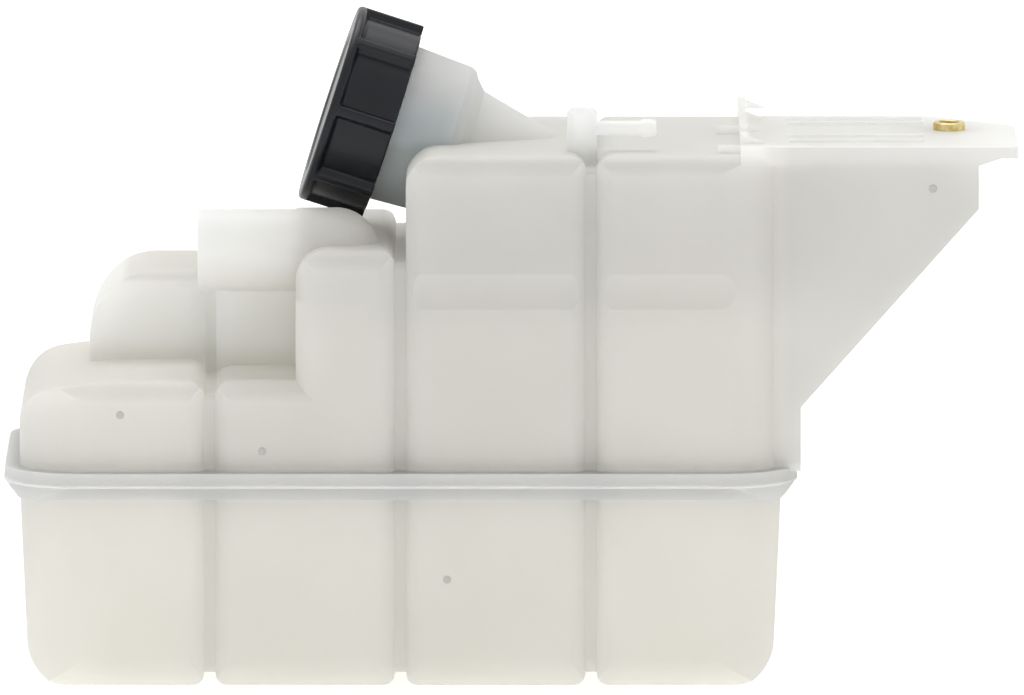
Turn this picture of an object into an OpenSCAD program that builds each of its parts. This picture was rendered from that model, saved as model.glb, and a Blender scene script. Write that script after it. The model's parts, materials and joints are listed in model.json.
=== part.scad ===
// Coolant expansion tank: two welded polypropylene shells with pillow cells,
// a tilted filler neck, and a screw cap that holds the pressure and vacuum valves.
// Millimetres, +Z up, standing on its cells. The origin is under the middle of
// the whole tank's outline, bracket and rear outlet included.

/* [Body] */
// Length of the body between its end walls
body_l = 237; // [220:1:260]
// Depth of the body between its front and rear walls
body_d = 112; // [104:1:130]
// Height of the weld seam
seam_h = 64; // [56:1:72]
// Height of the tall cells
tall_h = 166.4; // [150:0.2:180]
// Step from the tall cells down to the shoulder under the cap
shoulder_down = 29.4; // [28.4:0.2:36]
// Step from the shoulder down to the rear shoulder
rear_down = 13; // [12:0.5:18]
// Height of the low cells over the seam
low_up = 32; // [26:1:36]
// Wall thickness of both shells
wall = 3; // [2.4:0.1:3.4]
// Thickness of the baffles between the cells
baffle_t = 2.4; // [1.6:0.1:3]
// Radius of the body's upright outer corners
plan_r = 20; // [14:1:26]
// Radius of the lower outer corners, seen from the front
foot_r = 14.5; // [10:0.5:18]
// Radius of the long edges under the body
sole_r = 9; // [7:0.5:12]
// Radius of the long edges on top
top_r = 6; // [5:0.5:8]

/* [Cells] */
// Depth of the grooves between the cells
groove_d = 4.2; // [3:0.1:4.6]
// Flat strip left at the bottom of a groove
groove_gap = 3.4; // [1:0.1:4]
// Radius of the cells' edges beside a groove
cell_r = 5; // [4.7:0.1:6]
// Depth of the level groove across the tall cells
band_d = 0.8; // [0.6:0.1:1.4]
// Width of the level groove
band_w = 11; // [6:0.5:14]
// Depth of the level groove's middle under the tall cells
band_down = 42; // [36:0.5:48]

/* [Weld flange] */
// How far the flange stands out of the walls
flange_out = 4.6; // [3:0.1:6]
// Height of the upper shell's flange
flange_t = 4; // [3:0.1:5]

/* [Left shoulders] */
// Width of the shoulder under the cap
shoulder_w = 32.5; // [30:0.5:36]
// Distance from the left wall to the rear shoulder
rear_in = 21; // [18:0.5:26]
// Radius of the rear shoulder's left edge
rear_r = 22; // [16:1:24]

/* [Hose stubs] */
// Outer radius of the return and outlet stubs
stub_r = 12.7; // [11:0.1:13.5]
// Wall of the stubs
stub_wall = 3; // [2.4:0.1:3.6]
// Free length of the return stub
return_l = 30.5; // [24:0.5:40]
// Distance of the return stub's axis behind the front wall
return_in = 26; // [24:0.5:28]
// Depth of the return stub's axis under the shoulder
return_down = 2.7; // [1:0.1:5]
// Free length of the outlet stub
outlet_l = 30; // [24:1:40]
// Height of the outlet stub's axis
outlet_h = 24; // [22:0.5:34]
// Radius of the bleed nipple's barb
bleed_r = 2.8; // [2.4:0.1:3.2]
// Reach of the bleed nipple from its post
bleed_l = 23; // [18:0.5:30]
// Height of the bleed nipple's axis over the tall cells
bleed_up = 7; // [6.8:0.1:9]

/* [Bracket] */
// Reach of the bracket plate past the right wall
plate_reach = 73; // [60:1:84]
// Thickness of the bracket plate
plate_t = 3.8; // [3.8:0.1:4.6]
// Height of the plate's top over the tall cells
plate_up = 3.4; // [2.8:0.1:3.4]
// Depth of the plate, from the front wall back
plate_d = 80; // [72:1:96]
// Height of the plate's downturned front lip
lip_h = 6; // [5:0.5:8]
// Thickness of the two webs under the plate
web_t = 2.6; // [2:0.1:3.4]
// Distance of the sleeve's axis from the plate's right end
sleeve_in = 20.7; // [18:0.1:24]
// Distance of the sleeve's axis behind the front wall
sleeve_back = 44; // [36:0.5:50]
// Bore radius of the steel sleeve, for an M6 bolt
sleeve_bore = 3.3; // [3.2:0.05:3.6]
// Outer radius of the steel sleeve
sleeve_r = 5; // [4.6:0.1:6]
// Length of the steel sleeve
sleeve_l = 18; // [14:0.5:20]

/* [Neck] */
// Tilt of the neck's axis above the horizontal
neck_tilt = 18; // [16:0.5:20]
// Outer radius of the neck at the cap's edge
neck_r = 24.9; // [24.4:0.1:25.4]
// Bore radius of the neck
neck_bore = 19.6; // [19:0.1:20]
// Distance of the neck's root from the middle groove
neck_root_x = 24.7; // [22:0.1:28]
// Depth of the neck's root under the tall cells' top
neck_root_down = 4.6; // [3:0.1:6]

/* [Cap] */
// Outer radius of the cap
cap_r = 31.5; // [30:0.5:34]
// Height of the cap
cap_h = 21.2; // [18:0.1:22]
// Depth of the grip pockets
pocket_d = 2.4; // [1.6:0.1:2.6]
// Number of grip pockets
pocket_n = 8; // [6:1:12]
// Width of the ribs between the pockets
rib_w = 3.4; // [2.4:0.1:5]
// Lift of the pressure valve
pressure_lift = 2.4; // [1:0.1:3]
// Lift of the vacuum valve
vacuum_lift = 1.4; // [0.8:0.1:1.8]

/* [Hidden] */
$fn = 72;
over = 2;

// Heights from the feet
low_h = seam_h + low_up;
shoulder_h = tall_h - shoulder_down;
rear_h = shoulder_h - rear_down;
return_h = shoulder_h - return_down;
band_h = tall_h - band_down;

// Frame: the body's own middle is moved so that the outline is centred
overall_l = flange_out + body_l + plate_reach;
overall_d = flange_out + body_d + outlet_l;
mid_x = (flange_out - plate_reach) / 2;
mid_y = (flange_out - outlet_l) / 2;

// Body
half_l = body_l / 2;
half_d = body_d / 2;
cells = 4;
pitch = body_l / cells;
grooves = [for (i = [1 : cells - 1]) -half_l + i * pitch];
shoulder_x = -shoulder_w;
rear_x = -half_l + rear_in;
rear_front_low = 0;
stub_behind = 3.3;
rear_front_high = -half_d + return_in + stub_r + stub_behind;
rear_plan_r = plan_r - 4;
low_corner_drop = 4;
low_corner_r = 12;
foot_in = 3;
low_slope_l = 28;
shoulder_r = 10;
tall_r = 10;

// Flow holes in the baffles
foot_hole_r = 9;
foot_hole_z = 22;
vent_hole_r = 4;
vent_down = 14;

// Stubs
stub_bore = stub_r - stub_wall;
return_y = -half_d + return_in;
return_tip_x = shoulder_x - return_l;
return_end_in = 7.3;
return_end_x = stub_r + return_end_in;
hose_stop = 0.5;
outlet_x = pitch / 2;
bleed_in = 2.8;
bleed_x = pitch - bleed_in;
bleed_back = 18;
bleed_y = -half_d + bleed_back;
bleed_post_r = 4.7;
bleed_post_up = bleed_up + 6.2;
hose_way = 5.5;
bleed_bore = 1.3;
barb_up = 0.5;
barb_l = 3;
barb_tip = 1.6;
bleed_tube_r = bleed_r - barb_up;

// Bracket
plate_top = tall_h + plate_up;
plate_lap = 13;
plate_end = half_l + plate_reach;
plate_taper = 25;
end_lip_in = 9;
plate_corners = [3, 6, 8];
upstand_t = 2.4;
upstand_up = 3.2;
sleeve_x = plate_end - sleeve_in;
sleeve_y = -half_d + sleeve_back;
sleeve_proud = 2.5;
boss_wall = 3.4;
boss_r = sleeve_r + boss_wall;
boss_h = sleeve_l - sleeve_proud;
web_in = 10;
web_front = -half_d + web_in;
web_pitch = 50;
web_rear = web_front + web_pitch;
web_root_x = half_l - plan_r;
web_foot = 5.9;
web_foot_up = 23;
web_foot_h = seam_h + web_foot_up;
web_end_in = 12;
web_end_x = plate_end - web_end_in;
web_end_h = 20.8;
web_corner_z = plate_top - web_end_h;
rim_d = 6;
rim_h = 3.4;
ridge_w = 1.6;
ridge_up = 1;
ridge_backs = [12, 24, 56, 68];
gusset_n = 4;
gusset_l = 7;
gusset_pitch = (body_d - 2 * top_r - 2 - web_t) / (gusset_n - 1);

// Neck and cap, measured along the neck's axis from its root
waist_s = 6;
waist_r = 18;
waist_end_s = -27;
waist_end_r = 11;
collar_s = 8;
collar_r = neck_r - 0.9;
neck_mouth_s = 43;
thread_root_r = neck_r - 0.9;
cap_s = 28.6;
cap_end_s = cap_s + cap_h;
cap_top_t = 2.4;
core_top_s = cap_end_s - cap_top_t;
core_top_t = 2.1;
core_r = cap_r - 4;
core_in_r = neck_r + 0.35;
core_s = cap_s + 0.8;
insert_r = neck_bore - 0.4;
insert_s = 11;
flange_s = neck_mouth_s + 1.1;
insert_flange_t = 0.8;
insert_flange_r = core_in_r - 0.3;
housing_in_r = insert_r - 3.6;
running = 0.1;
rim_s = 3.6;
face_d = 0.6;
face_in = 8;
cord_r = 1.3;
ring_in = [5, 8];
ring_s = [insert_s + ring_in[0], flange_s - ring_in[1]];
ring_half = cord_r + 0.1;
ring_floor_r = neck_bore - running - 2 * cord_r;
seat_s = insert_s + 7;
seat_t = 2;
seat_hole_r = 8.5;
port_n = 6;
seal_t = 1.2;
seal_in = 0.6;
seal_out = 2.8;
plate_in = 2.4;
plate_s = seat_s + seat_t + seal_t + 0.05;
plate_h = 2;
hub_r = 5.2;
lug_w = 4;
stem_r = 1.5;
vacuum_port_r = 4;
disc_r = 6.4;
disc_t = 1.2;
disc_s = plate_s - disc_t - 1.1;
clip_s = plate_s + plate_h + 6;
clip_t = 1;
spring_wire = 0.7;
spring_in = 4.6;
spring_r = housing_in_r - spring_in;
retainer_s = flange_s - 6;
retainer_t = 2.4;
turns_big = 4.5;
turns_small = 5;

// Unit vector from a to b
function unit(a, b) = (b - a) / norm(b - a);
// Half of the inner angle at corner p between its neighbours a and b
function half_angle(a, p, b) = acos(unit(p, a) * unit(p, b)) / 2;
// The neighbours of point i in a closed outline
function before(points, i) = points[(i + len(points) - 1) % len(points)];
function after(points, i) = points[(i + 1) % len(points)];
// Where the arc of radius r at corner i leaves the two sides
function arc_ends(points, i, r) =
    let (p = points[i], a = before(points, i), b = after(points, i), t = r / tan(half_angle(a, p, b)))
    r > 0 ? [p + t * unit(p, a), p + t * unit(p, b)] : [p];
// Centre of the arc of radius r at corner i
function arc_centre(points, i, r) =
    let (p = points[i], a = before(points, i), b = after(points, i),
         way = unit(p, a) + unit(p, b))
    p + r / sin(half_angle(a, p, b)) * way / norm(way);

// A convex outline with a radius of its own at each corner, as true arcs
module rounded_outline(points, radii) {
    polygon([for (i = [0 : len(points) - 1]) each arc_ends(points, i, radii[i])]);
    for (i = [0 : len(points) - 1])
        if (radii[i] > 0) translate(arc_centre(points, i, radii[i])) circle(r = radii[i]);
}

// A rectangle's corners, from low left and anticlockwise
function rect(x, y) = [[x[0], y[0]], [x[1], y[0]], [x[1], y[1]], [x[0], y[1]]];

// A solid with one outline from above, one from the front and one from the side
module three_outlines(x, y, z) {
    intersection() {
        translate([0, 0, z[0] - over]) linear_extrude(z[1] - z[0] + 2 * over) children(0);
        translate([0, y[1] + over, 0]) rotate([90, 0, 0])
            linear_extrude(y[1] - y[0] + 2 * over) children(1);
        translate([x[0] - over, 0, 0]) rotate([90, 0, 90])
            linear_extrude(x[1] - x[0] + 2 * over) children(2);
    }
}

// The whole tank's outline is centred on the origin
module in_frame() translate([mid_x, mid_y, 0]) children();

// The neck's own frame: Z runs out along its axis
module on_neck()
    in_frame() translate([neck_root_x, 0, tall_h - neck_root_down])
        rotate([0, neck_tilt - 90, 0]) children();

// A ring turned about the neck's axis
module turned(points) rotate_extrude($fn = 96) polygon(points);

// Rounding left of a radius once the surface moves inwards
function inner_r(r, inset) = max(r - inset, 0.8);

// One pillow cell. inset moves all its faces inwards, for the hollow
module cell(x, y, z, plan, front, side, inset, open_top = false, open_foot = false, draft = [0, 0]) {
    xi = [x[0] + inset, x[1] - inset];
    yi = [y[0] + inset, y[1] - inset];
    zi = [open_foot ? z[0] : z[0] + inset, open_top ? z[1] : z[1] - inset];
    three_outlines(xi, yi, zi) {
        rounded_outline(rect(xi, yi), [for (r = plan) inner_r(r, inset)]);
        rounded_outline(
            [[xi[0] + draft[0], zi[0]], [xi[1] - draft[1], zi[0]], [xi[1], zi[1]], [xi[0], zi[1]]],
            [for (r = front) r > 0 ? inner_r(r, inset) : 0]
        );
        rounded_outline(rect(yi, zi), [for (r = side) r > 0 ? inner_r(r, inset) : 0]);
    }
}

// The web that joins two neighbouring cells at the bottom of their groove
module groove_web(at, y, z, side, inset, open_top = false, open_foot = false) {
    in = groove_d + inset;
    reach = cell_r + wall + groove_gap / 2;
    yi = [y[0] + in, y[1] - in];
    zi = [open_foot ? z[0] : z[0] + in, open_top ? z[1] : z[1] - in];
    translate([at - reach, 0, 0]) rotate([90, 0, 90]) linear_extrude(2 * reach)
        rounded_outline(rect(yi, zi), [for (r = side) r > 0 ? inner_r(r, in) : 0]);
}

// Left and right faces of cell i
function cell_x(i) = [
    -half_l + i * pitch + (i > 0 ? groove_gap / 2 : 0),
    -half_l + (i + 1) * pitch - (i < cells - 1 ? groove_gap / 2 : 0)
];
// Upright corner radii of cell i, from low left and anticlockwise in plan
function cell_plan(i) = let (l = i == 0 ? plan_r : cell_r, r = i == cells - 1 ? plan_r : cell_r)
    [l, r, r, l];

y_all = [-half_d, half_d];

// Form of the lower shell under the seam
module lower_form(inset) {
    for (i = [0 : cells - 1])
        cell(cell_x(i), y_all, [0, seam_h], cell_plan(i),
             [i == 0 ? foot_r : cell_r, i == cells - 1 ? foot_r : cell_r, 0, 0],
             [sole_r, sole_r, 0, 0], inset, open_top = true,
             draft = [i == 0 ? foot_in : 0, i == cells - 1 ? foot_in : 0]);
    for (at = grooves)
        groove_web(at, y_all, [0, seam_h], [sole_r, sole_r, 0, 0], inset, open_top = true);
}

// Baffles across all cells, pierced low down and near the top
module baffles(z) {
    difference() {
        for (at = grooves) translate([at - baffle_t / 2, -half_d, z[0]])
            cube([baffle_t, body_d, z[1] - z[0]]);
        for (y = [-half_d / 2, half_d / 2])
            translate([-half_l, y, foot_hole_z]) rotate([0, 90, 0]) cylinder(r = foot_hole_r, h = body_l);
        translate([-half_l, 0, low_h - vent_down]) rotate([0, 90, 0]) cylinder(r = vent_hole_r, h = body_l);
        translate([0, 0, tall_h - vent_down]) rotate([0, 90, 0]) cylinder(r = vent_hole_r, h = half_l);
    }
}

// The flange round the seam. drop is how far its walls slope in below
module flange(z, drop) {
    f = flange_out;
    x = [-half_l - f, half_l + f];
    y = [-half_d - f, half_d + f];
    r = plan_r + f;
    three_outlines(x, y, z) {
        rounded_outline(rect(x, y), [r, r, r, r]);
        polygon([[x[0] + drop, z[0]], [x[1] - drop, z[0]], [x[1], z[1]], [x[0], z[1]]]);
        polygon([[y[0] + drop, z[0]], [y[1] - drop, z[0]], [y[1], z[1]], [y[0], z[1]]]);
    }
}

module lower_shell() color("ivory") in_frame() {
    difference() {
        union() {
            lower_form(0);
            flange([seam_h - flange_out, seam_h], flange_out);
            translate([outlet_x, half_d - wall, outlet_h]) rotate([-90, 0, 0])
                cylinder(r = stub_r, h = outlet_l + wall);
        }
        difference() {
            lower_form(wall);
            baffles([0, seam_h + over]);
        }
        translate([outlet_x, half_d - 2 * wall, outlet_h]) rotate([-90, 0, 0])
            cylinder(r = stub_bore, h = outlet_l + 3 * wall);
    }
}

// A cell of the upper shell, open at the seam
module top_cell(x, y, top, plan, left_r, right_r, inset)
    cell(x, y, [seam_h, top], plan, [0, 0, right_r, left_r], [0, 0, top_r, top_r], inset, open_foot = true);

// The left end cell in front, whose top falls away to the left
module low_end_cell(inset) {
    x = [cell_x(0)[0] + inset, cell_x(0)[1] - inset];
    y = [-half_d + inset, half_d - inset];
    z = [seam_h, low_h - inset];
    three_outlines(x, y, z) {
        rounded_outline(rect(x, y), [for (r = cell_plan(0)) inner_r(r, inset)]);
        rounded_outline(
            [[x[0], z[0]], [x[1], z[0]], [x[1], z[1]], [x[0] + low_slope_l, z[1]], [x[0], z[1] - low_corner_drop]],
            [0, 0, inner_r(cell_r, inset), tall_r, inner_r(low_corner_r, inset)]
        );
        rounded_outline(rect(y, z), [0, 0, inner_r(top_r, inset), inner_r(top_r, inset)]);
    }
}

// Form of the upper shell over the seam
module upper_form(inset) {
    small = [cell_r, cell_r, cell_r, cell_r];
    low_end_cell(inset);
    top_cell(cell_x(1), y_all, low_h, small, cell_r, cell_r, inset);
    top_cell([shoulder_x, cell_x(1)[1]], y_all, shoulder_h, [top_r, cell_r, cell_r, top_r],
             shoulder_r, cell_r, inset);
    top_cell(cell_x(2), y_all, tall_h, small, tall_r, cell_r, inset);
    top_cell(cell_x(3), y_all, tall_h, cell_plan(3), cell_r, top_r, inset);
    top_cell([rear_x, cell_x(0)[1]], [rear_front_low, half_d], rear_h,
             [top_r, cell_r, cell_r, rear_plan_r], rear_r, cell_r, inset);
    top_cell([cell_x(1)[0], shoulder_x + shoulder_r + wall], [rear_front_high, half_d], rear_h,
             small, cell_r, cell_r, inset);
    top = [0, 0, top_r, top_r];
    groove_web(grooves[0], y_all, [seam_h, low_h], top, inset, open_foot = true);
    groove_web(grooves[0], [rear_front_low, half_d], [seam_h, rear_h], top, inset, open_foot = true);
    groove_web(grooves[1], y_all, [seam_h, shoulder_h], top, inset, open_foot = true);
    groove_web(grooves[2], y_all, [seam_h, tall_h], top, inset, open_foot = true);
}

// Outer profile of the neck from the root of its collar up, as radius and distance
neck_wall = [
    [0, waist_s - 1.6], [waist_r, waist_s - 1.6], [collar_r - 2.8, waist_s + 1.4], [collar_r - 0.8, collar_s + 0.6],
    [collar_r, collar_s + 2.4], [neck_r, cap_s - 0.6], [neck_r, cap_s - 0.2], [thread_root_r, core_s],
    [thread_root_r, neck_mouth_s - 1], [thread_root_r - 1, neck_mouth_s], [0, neck_mouth_s]
];

// The waist that runs from the collar into the top of the tall cells
module neck_waist() turned([[0, waist_end_s], [waist_end_r, waist_end_s], [waist_r, waist_s - 1.6], [0, waist_s - 1.6]]);

// The way for the coolant and the valve housing through neck and waist
module neck_way() turned([
    [0, waist_end_s - over], [waist_end_r - wall, waist_end_s - over], [waist_r - wall, waist_s - 1.6],
    [neck_bore, collar_s + 1], [neck_bore, neck_mouth_s + over], [0, neck_mouth_s + over]
]);

// A pipe along the return stub's axis, with a round end over the shoulder
module return_pipe(r, from) translate([0, return_y, return_h]) {
    translate([from, 0, 0]) rotate([0, 90, 0]) cylinder(r = r, h = -return_end_x - from);
    translate([-return_end_x, 0, 0]) sphere(r = r);
}

// The stub and, over the shoulder, the slightly wider pipe that stops the hose
module return_stub() {
    return_pipe(stub_r, return_tip_x);
    return_pipe(stub_r + hose_stop, shoulder_x);
}

module bleed_nipple() translate([bleed_x, bleed_y, 0]) {
    translate([0, 0, tall_h - groove_d - 1]) cylinder(r = bleed_post_r, h = bleed_post_up + groove_d);
    translate([0, 0, tall_h + bleed_post_up - 1]) cylinder(r1 = bleed_post_r, r2 = bleed_post_r - 1, h = 1);
    translate([0, 0, tall_h + bleed_up]) rotate([0, 90, 0]) {
        cylinder(r = bleed_tube_r, h = bleed_l);
        translate([0, 0, bleed_l - barb_tip - barb_l]) cylinder(r = bleed_r, h = barb_l);
        translate([0, 0, bleed_l - barb_tip]) cylinder(r1 = bleed_r, r2 = bleed_tube_r, h = barb_tip);
    }
}

module bleed_way() translate([bleed_x, bleed_y, 0]) {
    translate([0, 0, tall_h - groove_d - wall - over])
        cylinder(r = bleed_bore, h = groove_d + wall + over + bleed_up);
    translate([0, 0, tall_h + bleed_up]) rotate([0, 90, 0]) cylinder(r = bleed_bore, h = bleed_l + over);
}

// Outline of the bracket web, seen from the front
web_outline = [
    [web_root_x, seam_h + flange_t - 1], [half_l + web_foot, seam_h + flange_t - 1], [half_l + web_foot, web_foot_h],
    [web_end_x, web_corner_z], [web_end_x, plate_top - 1], [web_root_x, plate_top - 1]
];

// One upright web of the bracket, with a rim behind its sloping edge
module bracket_web(y) translate([0, y + web_t, 0]) {
    rotate([90, 0, 0]) linear_extrude(web_t) polygon(web_outline);
    translate([0, rim_d, 0]) rotate([90, 0, 0]) linear_extrude(rim_d + web_t / 2) polygon([
        web_outline[2], web_outline[3], web_outline[3] + [0, rim_h], web_outline[2] + [0, rim_h]
    ]);
}

module bracket() {
    front = -half_d;
    left = half_l - plate_lap;
    // Top plate, narrower towards its free end
    translate([0, 0, plate_top - plate_t]) linear_extrude(plate_t) rounded_outline(
        [[left, front], [plate_end, front], [plate_end, front + plate_d - plate_taper],
         [plate_end - plate_taper - 3, front + plate_d], [left, front + plate_d]],
        [0, plate_corners[0], plate_corners[1], plate_corners[2], 0]
    );
    // Front lip, cut away under the free end
    translate([0, front + web_t, 0]) rotate([90, 0, 0]) linear_extrude(web_t) polygon([
        [left, plate_top - lip_h], [web_end_x, plate_top - lip_h], [plate_end - 3, plate_top - lip_h / 2],
        [plate_end - 3, plate_top], [left, plate_top]
    ]);
    // End lip
    translate([plate_end - web_t, front + 3, plate_top - lip_h / 2 - 1])
        cube([web_t, plate_d - plate_taper - end_lip_in, lip_h / 2 + 1]);
    // Ridges along the top
    for (back = ridge_backs)
        translate([half_l + 2, front + back - ridge_w / 2, plate_top - 0.5])
            cube([plate_reach - plate_taper - 6, ridge_w, ridge_up + 0.5]);
    // Upstand where the plate laps the cells, open for the vent hose, with its gussets
    for (y = [[front + top_r, bleed_y - hose_way], [bleed_y + hose_way, half_d - top_r]])
        translate([left, y[0], tall_h - 1]) cube([upstand_t, y[1] - y[0], plate_up + upstand_up + 1]);
    for (i = [0 : gusset_n - 1])
        translate([left + upstand_t / 2, front + top_r + 1 + i * gusset_pitch + web_t, plate_top - 0.5])
            rotate([90, 0, 0]) linear_extrude(web_t)
                polygon([[0, 0], [gusset_l, 0], [gusset_l, 0.5], [0, upstand_up]]);
    bracket_web(web_front);
    bracket_web(web_rear);
    // Boss for the sleeve and the rib that carries it
    translate([sleeve_x, sleeve_y, plate_top - boss_h]) cylinder(r = boss_r, h = boss_h);
    translate([sleeve_x - web_t / 2, web_front + web_t / 2, plate_top - boss_h + 3])
        cube([web_t, web_rear - web_front, boss_h - 4]);
}

// The shallow groove across the tall cells, front and rear
module level_groove() {
    bend = (band_w * band_w / 4 + band_d * band_d) / (2 * band_d);
    for (side = [-1, 1])
        translate([cell_x(2)[0] + over, side * (half_d - band_d + bend), band_h]) rotate([0, 90, 0])
            cylinder(r = bend, h = half_l - plan_r / 2);
}

module upper_shell() color("ivory") {
    difference() {
        union() {
            in_frame() {
                upper_form(0);
                flange([seam_h, seam_h + flange_t], 0);
                return_stub();
                bleed_nipple();
                bracket();
            }
            on_neck() {
                turned(neck_wall);
                neck_waist();
            }
        }
        difference() {
            in_frame() difference() {
                upper_form(wall);
                baffles([seam_h - over, tall_h]);
            }
            on_neck() turned(neck_wall);
        }
        on_neck() neck_way();
        in_frame() {
            return_pipe(stub_bore, return_tip_x - over);
            bleed_way();
            level_groove();
            translate([sleeve_x, sleeve_y, plate_top - boss_h - over])
                cylinder(r = sleeve_r, h = boss_h + 2 * over);
        }
    }
}

module mount_sleeve() color("goldenrod") in_frame()
    translate([sleeve_x, sleeve_y, plate_top + sleeve_proud - sleeve_l]) rotate_extrude() polygon([
        [sleeve_bore, 0.3], [sleeve_bore + 0.3, 0], [sleeve_r - 0.4, 0], [sleeve_r, 0.4],
        [sleeve_r, sleeve_l - 0.4], [sleeve_r - 0.4, sleeve_l], [sleeve_bore + 0.3, sleeve_l],
        [sleeve_bore, sleeve_l - 0.3]
    ]);

// Grip shell of the cap: ribs between open pockets, and a rounded rim at the free end
module cap_shell() color([0.07, 0.07, 0.08]) on_neck() {
    difference() {
        union() {
            translate([0, 0, cap_s]) cylinder(r = cap_r - pocket_d, h = cap_h / 2);
            turned([
                [0, cap_s + cap_h / 2], [cap_r - pocket_d, cap_s + cap_h / 2], [cap_r - pocket_d, cap_end_s - rim_s - 1],
                [cap_r, cap_end_s - rim_s], [cap_r, cap_end_s - 1.8], [cap_r - 0.5, cap_end_s - 0.7],
                [cap_r - 1.6, cap_end_s], [0, cap_end_s]
            ]);
            intersection() {
                translate([0, 0, cap_s]) cylinder(r = cap_r, h = cap_h - 2);
                for (i = [0 : pocket_n - 1]) rotate([0, 0, -90 + i * 360 / pocket_n])
                    translate([core_r, -rib_w / 2, cap_s]) cube([cap_r, rib_w, cap_h - 2]);
            }
        }
        translate([0, 0, cap_s - over]) cylinder(r = core_r + running, h = core_top_s - cap_s + over);
        translate([0, 0, cap_end_s - face_d]) cylinder(r = cap_r - face_in, h = over);
    }
}

// Threaded core of the cap, which turns on the neck
module cap_core() color([0.12, 0.12, 0.13]) on_neck() turned([
    [core_in_r, core_s], [core_r, core_s], [core_r, core_top_s], [0, core_top_s],
    [0, core_top_s - core_top_t], [core_in_r, core_top_s - core_top_t]
]);

// Ring in the core that carries the valve housing along when the cap is unscrewed
module insert_snap_ring() color([0.55, 0.56, 0.58]) on_neck() turned([
    [thread_root_r + 0.3, flange_s - 1.5], [core_in_r, flange_s - 1.5],
    [core_in_r, flange_s - running], [thread_root_r + 0.3, flange_s - running]
]);

// Housing of both valves, sealed in the neck by two rings
module valve_housing() color([0.16, 0.16, 0.17]) on_neck() {
    difference() {
        turned([
            [housing_in_r, insert_s], [insert_r, insert_s], [insert_r, flange_s], [insert_flange_r, flange_s],
            [insert_flange_r, flange_s + insert_flange_t], [housing_in_r, flange_s + insert_flange_t],
            [housing_in_r, seat_s + seat_t], [seat_hole_r, seat_s + seat_t], [seat_hole_r, seat_s],
            [housing_in_r, seat_s]
        ]);
        for (s = ring_s) turned([
            [ring_floor_r, s - ring_half], [insert_r + over, s - ring_half],
            [insert_r + over, s + ring_half], [ring_floor_r, s + ring_half]
        ]);
    }
}

// A sealing ring of round section in the housing's groove
module sealing_ring(s) translate([0, 0, s]) rotate_extrude($fn = 96)
    translate([neck_bore - running - cord_r, 0]) circle(r = cord_r);

module upper_o_ring() color([0.1, 0.1, 0.1]) on_neck() sealing_ring(ring_s[1]);

module lower_o_ring() color([0.1, 0.1, 0.1]) on_neck() sealing_ring(ring_s[0]);

// Flat ring under the housing's flange
module neck_gasket() color([0.1, 0.1, 0.1]) on_neck() turned([
    [insert_r + 0.2, neck_mouth_s + running], [thread_root_r - 1.2, neck_mouth_s + running],
    [thread_root_r - 1.2, flange_s], [insert_r + 0.2, flange_s]
]);

// Cover of the housing at the tank's end, with the ports for pressure and vacuum
module housing_cover() color([0.2, 0.2, 0.21]) on_neck() {
    difference() {
        union() {
            translate([0, 0, insert_s - 0.8]) cylinder(r = insert_r - 0.8, h = 0.8);
            translate([0, 0, insert_s]) cylinder(r = housing_in_r - 0.05, h = 2);
        }
        for (i = [0 : port_n - 1]) rotate([0, 0, i * 360 / port_n]) translate([housing_in_r * 0.6, 0, insert_s - over])
            cylinder(r = 2.6, h = 3 * over);
    }
}

// Plate of the pressure valve, with the small ports that the vacuum seal closes
module pressure_valve_plate() color([0.2, 0.2, 0.21]) on_neck() {
    difference() {
        union() {
            translate([0, 0, plate_s]) cylinder(r = housing_in_r - plate_in, h = plate_h);
            // Lugs that guide the plate in the housing
            intersection() {
                translate([0, 0, plate_s]) cylinder(r = housing_in_r - running, h = plate_h);
                for (i = [0 : 3]) rotate([0, 0, i * 90]) translate([hub_r, -lug_w / 2, plate_s])
                    cube([housing_in_r, lug_w, plate_h]);
            }
            translate([0, 0, plate_s]) cylinder(r = hub_r, h = plate_h + 0.8);
        }
        translate([0, 0, plate_s - over]) cylinder(r = stem_r + running, h = plate_h + 3 * over);
        for (i = [0 : 3]) rotate([0, 0, 45 + i * 90]) translate([vacuum_port_r, 0, plate_s - over])
            cylinder(r = 0.8, h = plate_h + 3 * over);
    }
}

module pressure_valve_seal() color([0.1, 0.1, 0.1]) on_neck() turned([
    [seat_hole_r - seal_in, plate_s - seal_t], [housing_in_r - seal_out, plate_s - seal_t],
    [housing_in_r - seal_out, plate_s], [seat_hole_r - seal_in, plate_s]
]);

// Points of a coil: rings of sides points, turned about Z while they climb
function coil_points(r, wire, z, turns, steps, sides) = [
    for (k = [0 : turns * steps], j = [0 : sides - 1])
        let (a = 360 * k / steps, b = 360 * j / sides, out = r + wire * cos(b),
             up = z[0] + wire + (z[1] - z[0] - 2 * wire) * k / (turns * steps) + wire * sin(b))
        [out * cos(a), out * sin(a), up]
];

module coil(r, wire, z, turns, steps, sides) {
    last = turns * steps;
    polyhedron(
        coil_points(r, wire, z, turns, steps, sides),
        concat(
            [[for (j = [0 : sides - 1]) j]],
            [for (k = [0 : last - 1], j = [0 : sides - 1])
                [k * sides + j, (k + 1) * sides + j, (k + 1) * sides + (j + 1) % sides, k * sides + (j + 1) % sides]],
            [[for (j = [sides - 1 : -1 : 0]) last * sides + j]]
        )
    );
}

module pressure_spring() color([0.75, 0.76, 0.78]) on_neck()
    coil(spring_r, spring_wire, [plate_s + plate_h + 0.05, retainer_s - 0.05], turns_big, 16, 8);

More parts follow.
